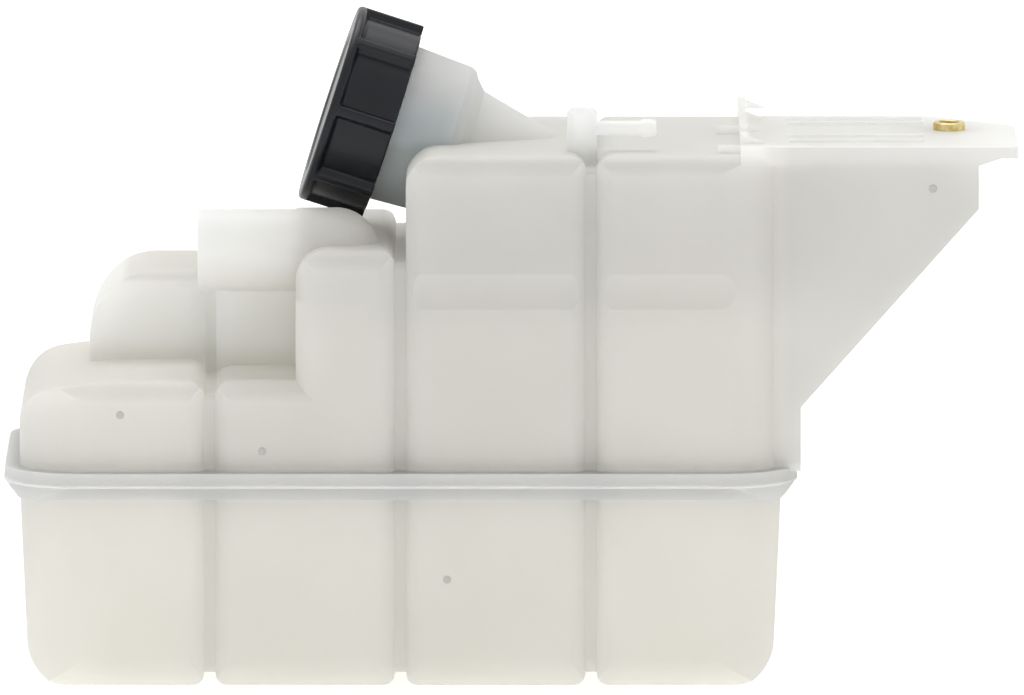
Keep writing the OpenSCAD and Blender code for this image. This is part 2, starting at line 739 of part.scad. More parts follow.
// Ring that holds the pressure spring down in the housing
module spring_retainer() color([0.2, 0.2, 0.21]) on_neck() {
    difference() {
        translate([0, 0, retainer_s]) cylinder(r = housing_in_r, h = retainer_t);
        translate([0, 0, retainer_s - over]) cylinder(r = seat_hole_r - 2, h = retainer_t + 2 * over);
        for (i = [0 : 1]) rotate([0, 0, 180 * i]) translate([seat_hole_r + 3, 0, retainer_s - over])
            cylinder(r = 1.4, h = retainer_t + 2 * over);
    }
}

// Disc and stem of the vacuum valve, which hangs in the pressure valve's plate
module vacuum_valve_stem() color([0.75, 0.76, 0.78]) on_neck() turned([
    [0, disc_s], [disc_r, disc_s], [disc_r, disc_s + disc_t], [stem_r, disc_s + disc_t],
    [stem_r, clip_s + clip_t + 0.6], [0, clip_s + clip_t + 0.6]
]);

module vacuum_valve_seal() color([0.1, 0.1, 0.1]) on_neck() turned([
    [stem_r + 0.1, disc_s + disc_t], [disc_r - 0.2, disc_s + disc_t],
    [disc_r - 0.2, plate_s - 0.05], [stem_r + 0.1, plate_s - 0.05]
]);

module vacuum_spring() color([0.75, 0.76, 0.78]) on_neck()
    coil(stem_r + 1.3, 0.3, [plate_s + plate_h + 0.85, clip_s - 0.05], turns_small, 12, 6);

module vacuum_spring_clip() color([0.75, 0.76, 0.78]) on_neck() turned([
    [stem_r, clip_s], [stem_r + 2.4, clip_s], [stem_r + 2.4, clip_s + clip_t], [stem_r, clip_s + clip_t]
]);

lower_shell();
upper_shell();
mount_sleeve();
cap_shell();
cap_core();
insert_snap_ring();
valve_housing();
upper_o_ring();
lower_o_ring();
neck_gasket();
housing_cover();
pressure_valve_plate();
pressure_valve_seal();
pressure_spring();
spring_retainer();
vacuum_valve_stem();
vacuum_valve_seal();
vacuum_spring();
vacuum_spring_clip();
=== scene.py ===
"""Coolant expansion tank: finishes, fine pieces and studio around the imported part.

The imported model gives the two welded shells, the bracket sleeve, the cap's inner
pieces and the valves. This script dresses them and adds the forms that are finer
than the solids: the cap's rounded grip, the neck's thread, springs of round wire,
the weld bead round the seam and the moulding gates. Lengths are metres, in the
part's own frame.
"""

from __future__ import annotations

import json
import logging
import math
from dataclasses import dataclass, field
from enum import Enum

import bpy
import numpy as np
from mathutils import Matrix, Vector

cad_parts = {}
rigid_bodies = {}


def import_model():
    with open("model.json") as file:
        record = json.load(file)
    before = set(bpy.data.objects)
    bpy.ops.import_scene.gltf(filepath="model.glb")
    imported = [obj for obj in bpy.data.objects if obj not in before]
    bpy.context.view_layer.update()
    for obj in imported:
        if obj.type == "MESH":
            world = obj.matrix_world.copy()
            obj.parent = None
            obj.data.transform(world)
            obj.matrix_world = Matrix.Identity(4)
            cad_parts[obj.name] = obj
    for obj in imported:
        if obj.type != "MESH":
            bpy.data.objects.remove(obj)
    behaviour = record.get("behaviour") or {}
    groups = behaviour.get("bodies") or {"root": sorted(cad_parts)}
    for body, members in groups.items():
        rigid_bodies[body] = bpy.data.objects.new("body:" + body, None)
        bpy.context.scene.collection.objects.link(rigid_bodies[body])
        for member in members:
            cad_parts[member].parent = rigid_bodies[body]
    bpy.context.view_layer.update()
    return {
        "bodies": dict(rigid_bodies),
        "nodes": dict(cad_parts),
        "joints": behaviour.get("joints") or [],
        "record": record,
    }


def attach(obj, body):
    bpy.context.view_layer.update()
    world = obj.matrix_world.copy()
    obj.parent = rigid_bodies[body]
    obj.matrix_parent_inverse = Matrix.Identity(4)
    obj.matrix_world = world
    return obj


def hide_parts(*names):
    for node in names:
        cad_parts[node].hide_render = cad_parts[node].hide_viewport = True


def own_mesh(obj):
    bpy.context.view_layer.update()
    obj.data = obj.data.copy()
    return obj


LOG = logging.getLogger("expansion_tank")
MM = 0.001
SENSOR_WIDTH = 36.0


class Body(str, Enum):
    """The bodies that pieces ride on."""

    TANK = "tank"
    INSERT = "insert"
    CAP = "cap"
    PRESSURE_VALVE = "pressure_valve"


class Slot(str, Enum):
    """The record's material slots."""

    SHELL = "shell_plastic"
    CAP = "cap_plastic"
    CORE = "core_plastic"
    SEAL = "seal_rubber"
    SPRING = "spring_steel"
    SLEEVE = "passivated_steel"


def smooth_step(x: np.ndarray) -> np.ndarray:
    """Rises from 0 to 1 as x does, with level ends: 3x^2 - 2x^3 between them.

    Args:
        x: values of any range.

    Returns:
        The eased values, from 0 to 1.
    """
    t = np.clip(x, 0.0, 1.0)
    return t * t * (3.0 - 2.0 * t)


def mesh_piece(name: str, points: np.ndarray, faces: list, smooth: bool = True) -> bpy.types.Object:
    """Makes an object at the origin from points and faces.

    Args:
        name: the piece's name.
        points: an array of corner places, one row each.
        faces: tuples of corner numbers, turning anticlockwise seen from outside.
        smooth: whether the faces are shaded smooth.

    Returns:
        The new object, linked to the scene.
    """
    mesh = bpy.data.meshes.new(name)
    mesh.from_pydata(points.tolist(), [], faces)
    mesh.polygons.foreach_set("use_smooth", np.full(len(mesh.polygons), smooth))
    mesh.update()
    piece = bpy.data.objects.new(name, mesh)
    bpy.context.scene.collection.objects.link(piece)
    return piece


def ring_faces(rows: int, columns: int, close_rows: bool = False, flip: bool = False) -> list:
    """Faces of a grid whose columns run round and close on themselves.

    Args:
        rows: number of rings.
        columns: number of points in a ring.
        close_rows: whether the last ring joins the first.
        flip: whether the faces turn the other way.

    Returns:
        Tuples of four corner numbers.
    """
    steps = rows if close_rows else rows - 1
    row, column = np.meshgrid(np.arange(steps), np.arange(columns), indexing="ij")
    after = (column + 1) % columns
    below = (row + 1) % rows
    corners = np.stack(
        [row * columns + column, row * columns + after, below * columns + after, below * columns + column],
        axis=-1,
    )
    corners = corners.reshape(-1, 4)
    return (corners[:, ::-1] if flip else corners).tolist()


@dataclass(frozen=True)
class NeckFrame:
    """The tilted frame of the filler neck, whose third axis runs out of the tank."""

    root: tuple[float, float, float] = (-0.0095, -0.0127, 0.1618)
    tilt: float = math.radians(18.0)

    def axes(self) -> np.ndarray:
        """Rows are the frame's own X, Y and Z."""
        c, s = math.cos(self.tilt), math.sin(self.tilt)
        return np.array([[s, 0.0, c], [0.0, 1.0, 0.0], [-c, 0.0, s]])

    def place(self, radius: np.ndarray, angle: np.ndarray, along: np.ndarray) -> np.ndarray:
        """Turns a radius, an angle and a distance along the neck into points.

        Args:
            radius: distance from the axis.
            angle: turn about the axis, in radians.
            along: distance from the root, outwards.

        Returns:
            Points in the part's frame, one row each.
        """
        local = np.stack([radius * np.cos(angle), radius * np.sin(angle), along + 0.0 * radius], axis=-1)
        return local.reshape(-1, 3) @ self.axes() + np.array(self.root)


NECK = NeckFrame()


class NodeTree:
    """A short way to lay nodes and links in a material or the world."""

    def __init__(self, owner: bpy.types.ID) -> None:
        """Empties the owner's tree.

        Args:
            owner: a material or a world.
        """
        owner.use_nodes = True
        self.tree = owner.node_tree
        self.tree.nodes.clear()

    def add(self, kind: str, **settings: object) -> bpy.types.Node:
        """Adds a node and sets its properties, and its inputs by their names.

        Args:
            kind: the node's type, without its prefix.
            settings: properties, or inputs with spaces written as underscores.

        Returns:
            The new node.
        """
        node = self.tree.nodes.new("ShaderNode" + kind)
        for key, value in settings.items():
            label = key.replace("_", " ")
            if label in node.inputs:
                node.inputs[label].default_value = value
            else:
                setattr(node, key, value)
        return node

    def link(self, source: bpy.types.NodeSocket, target: bpy.types.NodeSocket) -> None:
        """Joins two sockets."""
        self.tree.links.new(source, target)

    def feed(self, value: object, target: bpy.types.NodeSocket) -> None:
        """Links a socket to an input, or sets the input to a plain number."""
        if isinstance(value, bpy.types.NodeSocket):
            self.link(value, target)
        else:
            target.default_value = value

    def noise(self, scale: float, detail: float, roughness: float = 0.5) -> bpy.types.NodeSocket:
        """A noise texture on Object coordinates.

        Args:
            scale: repeats per metre.
            detail: number of octaves.
            roughness: weight of the fine octaves.

        Returns:
            The noise, from 0 to 1.
        """
        place = self.add("TexCoord")
        texture = self.add("TexNoise", Scale=scale, Detail=detail, Roughness=roughness)
        self.link(place.outputs["Object"], texture.inputs["Vector"])
        return texture.outputs["Fac"]

    def split(self, vector: bpy.types.NodeSocket) -> tuple:
        """The three parts of a vector, as sockets."""
        node = self.add("SeparateXYZ")
        self.link(vector, node.inputs[0])
        return tuple(node.outputs)

    def vector(
        self, operation: str, source: bpy.types.NodeSocket, constant: tuple = (0.0, 0.0, 0.0)
    ) -> bpy.types.Node:
        """One step of vector arithmetic on a socket and a constant.

        Args:
            operation: the Vector Math node's operation.
            source: the first vector.
            constant: the second one.

        Returns:
            The node, whose result is a vector or a value.
        """
        node = self.add("VectorMath", operation=operation)
        node.inputs[1].default_value = constant
        self.link(source, node.inputs[0])
        return node

    def ramp(self, source: bpy.types.NodeSocket, stops: list) -> bpy.types.NodeSocket:
        """Turns a value into a colour.

        Args:
            source: the value.
            stops: pairs of a position and a colour.

        Returns:
            The colour's socket.
        """
        node = self.add("ValToRGB")
        while len(node.color_ramp.elements) < len(stops):
            node.color_ramp.elements.new(0.5)
        for element, (position, colour) in zip(node.color_ramp.elements, stops):
            element.position = position
            element.color = (*colour, 1.0)
        self.link(source, node.inputs["Fac"])
        return node.outputs["Color"]

    def math(self, operation: str, *values: object) -> bpy.types.NodeSocket:
        """One step of arithmetic on sockets and plain numbers.

        Args:
            operation: the Math node's operation.
            values: sockets or numbers, in the node's order.

        Returns:
            The result's socket.
        """
        node = self.add("Math", operation=operation)
        for value, target in zip(values, node.inputs):
            self.feed(value, target)
        return node.outputs[0]

    def remap(self, value: bpy.types.NodeSocket, low: float, high: float) -> bpy.types.NodeSocket:
        """Turns 0 to 1 into low to high."""
        node = self.add("MapRange")
        node.inputs["To Min"].default_value = low
        node.inputs["To Max"].default_value = high
        self.link(value, node.inputs["Value"])
        return node.outputs["Result"]

    def fade(self, value: bpy.types.NodeSocket, full: float, none: float) -> bpy.types.NodeSocket:
        """An eased factor that is 1 at one value and 0 at another.

        Args:
            value: what is measured.
            full: where the factor is 1.
            none: where it is 0.

        Returns:
            The factor's socket.
        """
        node = self.add("MapRange", interpolation_type="SMOOTHSTEP")
        low, high = sorted((full, none))
        node.inputs["From Min"].default_value = low
        node.inputs["From Max"].default_value = high
        node.inputs["To Min"].default_value = float(full < none)
        node.inputs["To Max"].default_value = float(full > none)
        self.link(value, node.inputs["Value"])
        return node.outputs["Result"]

    def tint(
        self, colour: bpy.types.NodeSocket, tone: tuple, factor: bpy.types.NodeSocket
    ) -> bpy.types.NodeSocket:
        """Multiplies a colour by a tone where the factor says so.

        Args:
            colour: the colour's socket.
            tone: the tone.
            factor: share of the effect.

        Returns:
            The new colour's socket.
        """
        node = self.add("MixRGB", blend_type="MULTIPLY")
        self.link(factor, node.inputs[0])
        self.link(colour, node.inputs[1])
        node.inputs[2].default_value = (*tone, 1.0)
        return node.outputs[0]

    def bump(self, source: bpy.types.NodeSocket, strength: float, depth: float) -> bpy.types.NodeSocket:
        """A normal bent by a height.

        Args:
            source: the height.
            strength: share of the effect.
            depth: height of the relief, in metres.

        Returns:
            The normal's socket.
        """
        node = self.add("Bump", Strength=strength, Distance=depth)
        self.link(source, node.inputs["Height"])
        return node.outputs["Normal"]

    def mix(
        self, factor: object, first: bpy.types.NodeSocket, second: bpy.types.NodeSocket
    ) -> bpy.types.NodeSocket:
        """Blends two shaders: only the first at a factor of 0, and only the second at 1."""
        node = self.add("MixShader")
        self.feed(factor, node.inputs[0])
        self.link(first, node.inputs[1])
        self.link(second, node.inputs[2])
        return node.outputs[0]

    def finish(self, shader: bpy.types.NodeSocket, kind: str = "OutputMaterial") -> None:
        """Sends a shader to the material's or the world's output."""
        output = self.add(kind)
        self.link(shader, output.inputs["Surface"])


@dataclass(frozen=True)
class ShellPlastic:
    """Natural polypropylene: milky, a little warm, and lit through where it is thin.

    Each fade is a pair: the place where its effect is full, and the one where it ends.
    """

    name: str = "natural_polypropylene"
    pale: tuple = (0.988, 0.988, 0.978)
    dull: tuple = (0.972, 0.971, 0.958)
    # Tones of painted shade, each multiplied into the colour where its zone lies.
    body_shade_tone: tuple = (0.925, 0.915, 0.899)
    foot_shade_tone: tuple = (0.968, 0.96, 0.938)
    high_shade_tone: tuple = (0.945, 0.947, 0.95)
    bracket_shade_tone: tuple = (0.94, 0.945, 0.95)
    groove_shade_tone: tuple = (0.985, 0.99, 0.995)
    neck_shade_tone: tuple = (0.86, 0.915, 0.94)
    stub_shade_tone: tuple = (0.88, 0.87, 0.85)
    roughness: float = 0.42
    refraction: float = 1.49
    passing: float = 0.6
    pitch: float = 59.25 * MM
    middle: float = -34.2 * MM
    seam: float = 64.0 * MM
    rear_left: tuple = (-69.7 * MM, -63.7 * MM)
    rear_high: tuple = (104.0 * MM, 96.0 * MM)
    rear_top: tuple = (122.0 * MM, 120.0 * MM)
    seam_off: tuple = (6.0 * MM, 4.5 * MM)
    below_tops: tuple = (164.0 * MM, 168.0 * MM)
    below_plate: tuple = (169.3 * MM, 169.7 * MM)
    lip_right: tuple = (82.0 * MM, 76.0 * MM)
    bracket_right: tuple = (88.0 * MM, 82.0 * MM)
    feet: tuple = (56.0 * MM, 62.0 * MM)
    tall_right: tuple = (-60.7 * MM, -66.7 * MM)
    tall_high: tuple = (135.0 * MM, 105.0 * MM)
    stub_left: tuple = (-67.0 * MM, -63.0 * MM)
    stub_below: tuple = (125.0 * MM, 139.0 * MM)
    groove_near: tuple = (2.0 * MM, 10.0 * MM)
    groove_body: tuple = (76.0 * MM, 80.0 * MM)
    neck_along: tuple = (15.0 * MM, 7.0 * MM)
    neck_within: tuple = (25.5 * MM, 28.0 * MM)
    neck_below: tuple = (172.0 * MM, 186.0 * MM)
    cloud_scale: float = 28.0
    grain_scale: float = 900.0
    grain_share: float = 0.12
    wave_scale: float = 70.0
    relief: float = 0.4 * MM

    def painted_shade_zones(
        self, tree: NodeTree, place: bpy.types.NodeSocket, colour: bpy.types.NodeSocket
    ) -> bpy.types.NodeSocket:
        """Paints shade on all of the shell but the seam, the flat tops and the thin rear shoulder,
        so that the tops and the shoulder look lit from above and from behind.

        The feet get the least painted shade. The tall cells, the bracket and the underside of
        the stub get a little more painted shade still.

        Args:
            tree: the material's nodes.
            place: Object coordinates.
            colour: the plastic's own colour.

        Returns:
            The colour with each zone's painted shade.
        """
        x, _, z = tree.split(place)
        # Painted shade by place: the body is darkened, the feet less, and the tops, the seam and the rear
        # shoulder not at all.
        rear = tree.math("MULTIPLY", tree.fade(x, *self.rear_left), tree.fade(z, *self.rear_high))
        off_seam = tree.math("ABSOLUTE", tree.math("SUBTRACT", z, self.seam))
        shade_mask = tree.math("MULTIPLY", tree.math("SUBTRACT", 1.0, rear), tree.fade(off_seam, *self.seam_off))
        under_plate = tree.fade(z, *self.below_plate)
        on_lip = tree.math("MULTIPLY", tree.fade(x, *self.lip_right), under_plate)
        under_top = tree.math("MAXIMUM", tree.fade(z, *self.below_tops), on_lip)
        shade_mask = tree.math("MULTIPLY", shade_mask, under_top)
        feet = tree.math("MULTIPLY", shade_mask, tree.fade(z, *self.feet))
        colour = tree.tint(colour, self.foot_shade_tone, feet)
        colour = tree.tint(colour, self.body_shade_tone, tree.math("SUBTRACT", shade_mask, feet))
        upper = tree.math("MULTIPLY", tree.fade(z, *self.tall_high), under_top)
        tall = tree.math("MULTIPLY", tree.fade(x, *self.tall_right), upper)
        colour = tree.tint(colour, self.high_shade_tone, tall)
        bracket = tree.math("MULTIPLY", tree.fade(x, *self.bracket_right), under_plate)
        colour = tree.tint(colour, self.bracket_shade_tone, bracket)
        # Painted shade under the return stub.
        stub_underside_shade = tree.math("MULTIPLY", tree.fade(z, *self.stub_below), tree.fade(z, *self.rear_top))
        stub = tree.math("MULTIPLY", tree.fade(x, *self.stub_left), stub_underside_shade)
        return tree.tint(colour, self.stub_shade_tone, stub)

    def groove_shade_factor(self, tree: NodeTree, place: bpy.types.NodeSocket) -> bpy.types.NodeSocket:
        """Painted shade where the walls of two cells and the baffle between them keep light back.

        Args:
            tree: the material's nodes.
            place: Object coordinates.

        Returns:
            A factor of 1 in the middle of each groove.
        """
        x = tree.split(place)[0]
        off = tree.math("PINGPONG", tree.math("SUBTRACT", x, self.middle), self.pitch / 2)
        return tree.math("MULTIPLY", tree.fade(off, *self.groove_near), tree.fade(x, *self.groove_body))

    def neck_shade_factor(self, tree: NodeTree, place: bpy.types.NodeSocket) -> bpy.types.NodeSocket:
        """Painted shade on the neck, from its collar up to the cap, fading out towards its top.

        Args:
            tree: the material's nodes.
            place: Object coordinates.

        Returns:
            A factor of 1 on the collar.
        """
        axis = tuple(NECK.axes()[2])
        from_root = tree.vector("SUBTRACT", place, NECK.root).outputs[0]
        along = tree.vector("DOT_PRODUCT", from_root, axis).outputs["Value"]
        aside = tree.vector("CROSS_PRODUCT", from_root, axis).outputs[0]
        radius = tree.vector("LENGTH", aside).outputs["Value"]
        collar = tree.fade(along, *self.neck_along)
        within = tree.fade(radius, *self.neck_within)
        below = tree.fade(tree.split(place)[2], *self.neck_below)
        return tree.math("MULTIPLY", tree.math("MULTIPLY", collar, within), below)

    def make(self) -> bpy.types.Material:
        """Builds the material: cloudy tone with painted shade by place, orange-peel relief and light through
        the wall.
        """
        material = bpy.data.materials.new(self.name)
        tree = NodeTree(material)
        place = tree.add("TexCoord").outputs["Object"]
        colour = tree.ramp(tree.noise(self.cloud_scale, 3.0), [(0.35, self.dull), (0.65, self.pale)])
        colour = self.painted_shade_zones(tree, place, colour)
        # Painted shade along the grooves between the cells.
        colour = tree.tint(colour, self.groove_shade_tone, self.groove_shade_factor(tree, place))
        # Painted shade on the neck, fading out towards its top.
        colour = tree.tint(colour, self.neck_shade_tone, self.neck_shade_factor(tree, place))
        grain = tree.noise(self.grain_scale, 2.0)
        wave = tree.noise(self.wave_scale, 1.0)
        peel = tree.math("MULTIPLY_ADD", grain, self.grain_share, wave)
        shader = tree.add("BsdfPrincipled", Roughness=self.roughness, IOR=self.refraction)
        tree.link(colour, shader.inputs["Base Color"])
        tree.link(tree.bump(peel, 0.5, self.relief), shader.inputs["Normal"])
        through = tree.add("BsdfTranslucent")
        tree.link(colour, through.inputs["Color"])
        tree.finish(tree.mix(self.passing, shader.outputs["BSDF"], through.outputs["BSDF"]))
        return material


@dataclass(frozen=True)
class MouldedPlastic:
    """Dark moulded plastic with a fine grain."""

    name: str
    colour: tuple
    roughness: float
    gloss: float = 0.5
    grain: float = 1400.0
    relief: float = 0.12 * MM
    smoother: float = 0.06
    rougher: float = 0.08

    def make(self) -> bpy.types.Material:
        """Builds the material: a dark tone that varies a little, and a fine relief."""
        material = bpy.data.materials.new(self.name)
        tree = NodeTree(material)
        cloud = tree.noise(120.0, 4.0)
        lighter = tuple(1.35 * c + 0.002 for c in self.colour)
        colour = tree.ramp(cloud, [(0.3, self.colour), (0.75, lighter)])
        rough = tree.remap(cloud, self.roughness - self.smoother, self.roughness + self.rougher)
        shader = tree.add("BsdfPrincipled", IOR=1.5)
        shader.inputs["Specular IOR Level"].default_value = self.gloss
        tree.link(rough, shader.inputs["Roughness"])
        tree.link(colour, shader.inputs["Base Color"])
        grain = tree.noise(self.grain, 2.0)
        tree.link(tree.bump(grain, 0.35, self.relief), shader.inputs["Normal"])
        tree.finish(shader.outputs["BSDF"])
        return material


@dataclass(frozen=True)
class MetalFinish:
    """Metal with fine streaks, clear or passivated."""

    name: str
    low: tuple
    high: tuple
    roughness: float
    relief: float = 0.05 * MM

    def make(self) -> bpy.types.Material:
        """Builds the material: two tones in soft patches, and a light streaky relief."""
        material = bpy.data.materials.new(self.name)
        tree = NodeTree(material)
        patches = tree.noise(450.0, 3.0)
        colour = tree.ramp(patches, [(0.35, self.low), (0.65, self.high)])
        shader = tree.add("BsdfPrincipled", Roughness=self.roughness, Metallic=1.0)
        tree.link(colour, shader.inputs["Base Color"])
        scratches = tree.noise(2600.0, 2.0)
        tree.link(tree.bump(scratches, 0.2, self.relief), shader.inputs["Normal"])
        tree.finish(shader.outputs["BSDF"])
        return material


@dataclass
class Finishes:
    """Every material of the part, by its slot."""

    made: dict = field(default_factory=dict)
    gate: bpy.types.Material | None = None

    def make(self) -> None:
        """Builds all materials."""
        kinds = {
            Slot.SHELL: ShellPlastic(),
            Slot.CAP: MouldedPlastic("black_cap_plastic", (0.004, 0.005, 0.008), 0.32, gloss=0.3),
            Slot.CORE: MouldedPlastic("dark_filled_plastic", (0.03, 0.03, 0.033), 0.48),
            Slot.SEAL: MouldedPlastic("black_rubber", (0.012, 0.012, 0.012), 0.62),
            Slot.SPRING: MetalFinish("stainless_wire", (0.52, 0.52, 0.53), (0.66, 0.66, 0.67), 0.28),
            Slot.SLEEVE: MetalFinish("yellow_passivated_steel", (0.62, 0.46, 0.16), (0.74, 0.66, 0.36), 0.36),
        }
        self.made = {slot: kind.make() for slot, kind in kinds.items()}
        # The gate marks are a darker grey than the shell, and carry the same painted shade by place.
        self.gate = ShellPlastic("darker_gate_mark", (0.74, 0.75, 0.73), (0.6, 0.61, 0.6), passing=0.2).make()

    def dress(self, piece: bpy.types.Object, slot: Slot) -> None:
        """Gives a piece the one material of its slot.

        Args:
            piece: the object to dress.
            slot: the record's slot.
        """
        piece.data.materials.clear()
        piece.data.materials.append(self.made[slot])

    def dress_nodes(self, frame: dict) -> None:
        """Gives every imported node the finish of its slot.
        """
        slots = {part["node"]: part["material_slot"] for part in frame["record"]["subparts"]}
        for name, node in frame["nodes"].items():
            self.dress(node, Slot(slots[name]))


def add_piece(piece: bpy.types.Object, body: Body, slot: Slot, finishes: Finishes) -> None:
    """Dresses a new piece and lets it ride on its body.

    Args:
        piece: the object.
        body: the body that carries it.
        slot: the record's slot for its finish.
        finishes: the built materials.
    """
    finishes.dress(piece, slot)
    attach(piece, body.value)
    LOG.info("%s rides on %s in %s", piece.name, body.value, slot.value)


@dataclass
class CapGrip:
    """The cap's black grip: eight pockets between ribs, and a rounded rim at its free end."""

    radius: float = 31.5 * MM
    bore: float = 27.6 * MM
    foot: float = 28.6 * MM
    top: float = 49.8 * MM
    ceiling: float = 47.4 * MM
    pocket_depth: float = 2.4 * MM
    pocket_top: float = 47.5 * MM
    pockets: int = 8
    rib_turn: float = math.radians(-86.7)
    rib_half: float = 1.2 * MM
    rib_slope: float = 1.5 * MM
    rim_round: float = 1.4 * MM
    face_radius: float = 23.0 * MM
    face_depth: float = 0.6 * MM
    pocket_ease: float = 1.6 * MM
    pocket_crown: float = 0.25 * MM
    columns: int = 8 * 56

    def profile(self) -> tuple[np.ndarray, np.ndarray]:
        """The grip's section, from the middle of its face out, down, and back up inside.

        Returns:
            Radius and height of every point, as one array, and which points lie on
            the outer wall.
        """
        arc = np.linspace(0.0, math.pi / 2, 9)
        shoulder_r = self.radius - self.rim_round + self.rim_round * np.sin(arc)
        shoulder_z = self.top - self.rim_round + self.rim_round * np.cos(arc)
        face = np.array([
            [0.0, self.top - self.face_depth], [self.face_radius - 1.2 * MM, self.top - self.face_depth],
            [self.face_radius - 0.5 * MM, self.top - self.face_depth * 0.8],
            [self.face_radius, self.top - self.face_depth * 0.2], [self.face_radius + 0.6 * MM, self.top],
        ])
        rim = np.stack([shoulder_r, shoulder_z], axis=1)
        wall_z = np.linspace(self.top - self.rim_round, self.foot + 0.3 * MM, 46)[1:]
        wall = np.stack([np.full_like(wall_z, self.radius), wall_z], axis=1)
        inside = np.array([
            [self.radius - 0.3 * MM, self.foot], [self.bore + 0.3 * MM, self.foot],
            [self.bore, self.foot + 0.3 * MM], [self.bore, self.ceiling - 0.1 * MM],
            [self.bore - 0.1 * MM, self.ceiling], [0.0, self.ceiling],
        ])
        points = np.concatenate([face, rim, wall, inside])
        outer = np.zeros(len(points), bool)
        outer[len(face) : len(face) + len(rim) + len(wall) + 1] = True
        return points, outer

    def pocket(self, angle: np.ndarray, height: np.ndarray) -> np.ndarray:
        """How far the wall stands in, as the product of two eased steps.

        The first rises with the distance from the nearest rib's middle, and the
        second with the distance below the rim, so the pockets' corners are round.

        Args:
            angle: turn about the neck's axis.
            height: distance along it.

        Returns:
            The depth at each point.
        """
        sector = 2.0 * math.pi / self.pockets
        off_rib = np.abs((angle - self.rib_turn + sector / 2) % sector - sector / 2) * self.radius
        across = smooth_step((off_rib - self.rib_half) / self.rib_slope)
        along = smooth_step((self.pocket_top - height) / self.pocket_ease)
        crown = self.pocket_crown * np.cos(math.pi * np.clip(off_rib / (sector * self.radius / 2), 0, 1))
        return (self.pocket_depth + crown) * across * along

    def build(self, finishes: Finishes) -> None:
        """Makes the grip and lets it stand for the plain cap.

        Args:
            finishes: the built materials.
        """
        points, outer = self.profile()
        angle = np.linspace(0.0, 2.0 * math.pi, self.columns, endpoint=False)
        height, turn = np.meshgrid(points[1:-1, 1], angle, indexing="ij")
        radius = points[1:-1, 0][:, None] - outer[1:-1, None] * self.pocket(turn, height)
        rings = NECK.place(radius, turn, height)
        ends = NECK.place(np.zeros(2), np.zeros(2), np.array([points[0, 1], points[-1, 1]]))
        faces = ring_faces(len(points) - 2, self.columns, flip=True)
        first, last = len(rings), len(rings) + 1
        tail = len(rings) - self.columns
        for i in range(self.columns):
            j = (i + 1) % self.columns
            faces.append((first, i, j))
            faces.append((last, tail + j, tail + i))
        grip = mesh_piece("cap_grip", np.concatenate([rings, ends]), faces)
        add_piece(grip, Body.CAP, Slot.CAP, finishes)
        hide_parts("cap_shell")


@dataclass
class NeckThread:
    """The coarse thread on the neck, which shows once the cap is lifted."""

    root_radius: float = 23.9 * MM
    crest_radius: float = 24.85 * MM
    start: float = 31.0 * MM
    pitch: float = 4.0 * MM
    turns: float = 2.4
    foot_half: float = 1.1 * MM
    crest_half: float = 0.5 * MM
    run_out: float = 0.05
    end_share: float = 0.2
    steps: int = 260

    def build(self, finishes: Finishes) -> None:
        """Carries a trapezium along a helix and lets both ends run out into the neck.

        Args:
            finishes: the built materials.
        """
        t = np.linspace(0.0, 1.0, self.steps)
        fade = smooth_step(t / self.run_out) * smooth_step((1.0 - t) / self.run_out)
        angle = 2.0 * math.pi * self.turns * t
        along = self.start + self.pitch * self.turns * t
        rise = self.crest_radius - self.root_radius
        section = np.array([
            [0.0, -self.foot_half], [rise, -self.crest_half], [rise, self.crest_half], [0.0, self.foot_half],
        ])
        radius = self.root_radius + fade[:, None] * section[None, :, 0]
        height = self.end_share + (1.0 - self.end_share) * fade[:, None]
        offset = along[:, None] + section[None, :, 1] * height
        turn = np.broadcast_to(angle[:, None], radius.shape)
        points = NECK.place(radius, turn, offset)
        faces = ring_faces(self.steps, 4, flip=True)
        faces.append((0, 1, 2, 3))
        last = 4 * (self.steps - 1)
        faces.append((last + 3, last + 2, last + 1, last))
        thread = mesh_piece("neck_thread", points, faces, smooth=False)
        add_piece(thread, Body.TANK, Slot.SHELL, finishes)


@dataclass(frozen=True)
class ValveSpring:
    """A coil spring of round wire that rides on its valve's body."""

    name: str
    node: str
    body: Body
    joint: str
    radius: float
    wire: float
    foot: float
    head: float
    turns: float
    travel: float
    fixed_at_head: bool
    closing: float = 0.4
    steps_a_turn: int = 40
    sides: int = 12

    def build(self, finishes: Finishes) -> None:
        """Sweeps the wire's circle up a helix whose pitch eases off at both ends.

        The height is t less a share of sin(2 pi t) / (2 pi), so the end turns lie
        closer together than those in the middle.

        Args:
            finishes: the built materials.
        """
        steps = int(self.turns * self.steps_a_turn) + 1
        t = np.linspace(0.0, 1.0, steps)
        eased = t - self.closing * np.sin(2.0 * math.pi * t) / (2.0 * math.pi)
        middle = self.foot + self.wire + (self.head - self.foot - 2.0 * self.wire) * eased
        section = np.linspace(0.0, 2.0 * math.pi, self.sides, endpoint=False)
        radius = np.broadcast_to(self.radius + self.wire * np.cos(section)[None, :], (steps, self.sides))
        along = middle[:, None] + self.wire * np.sin(section)[None, :]
        turn = np.broadcast_to((2.0 * math.pi * self.turns * t)[:, None], radius.shape)
        faces = ring_faces(steps, self.sides, flip=True)
        faces.append(tuple(range(self.sides)))
        faces.append(tuple(range(steps * self.sides - 1, (steps - 1) * self.sides - 1, -1)))
        coil = mesh_piece(self.name, NECK.place(radius, turn, along), faces)
        add_piece(coil, self.body, Slot.SPRING, finishes)
        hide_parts(self.node)
        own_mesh(coil)


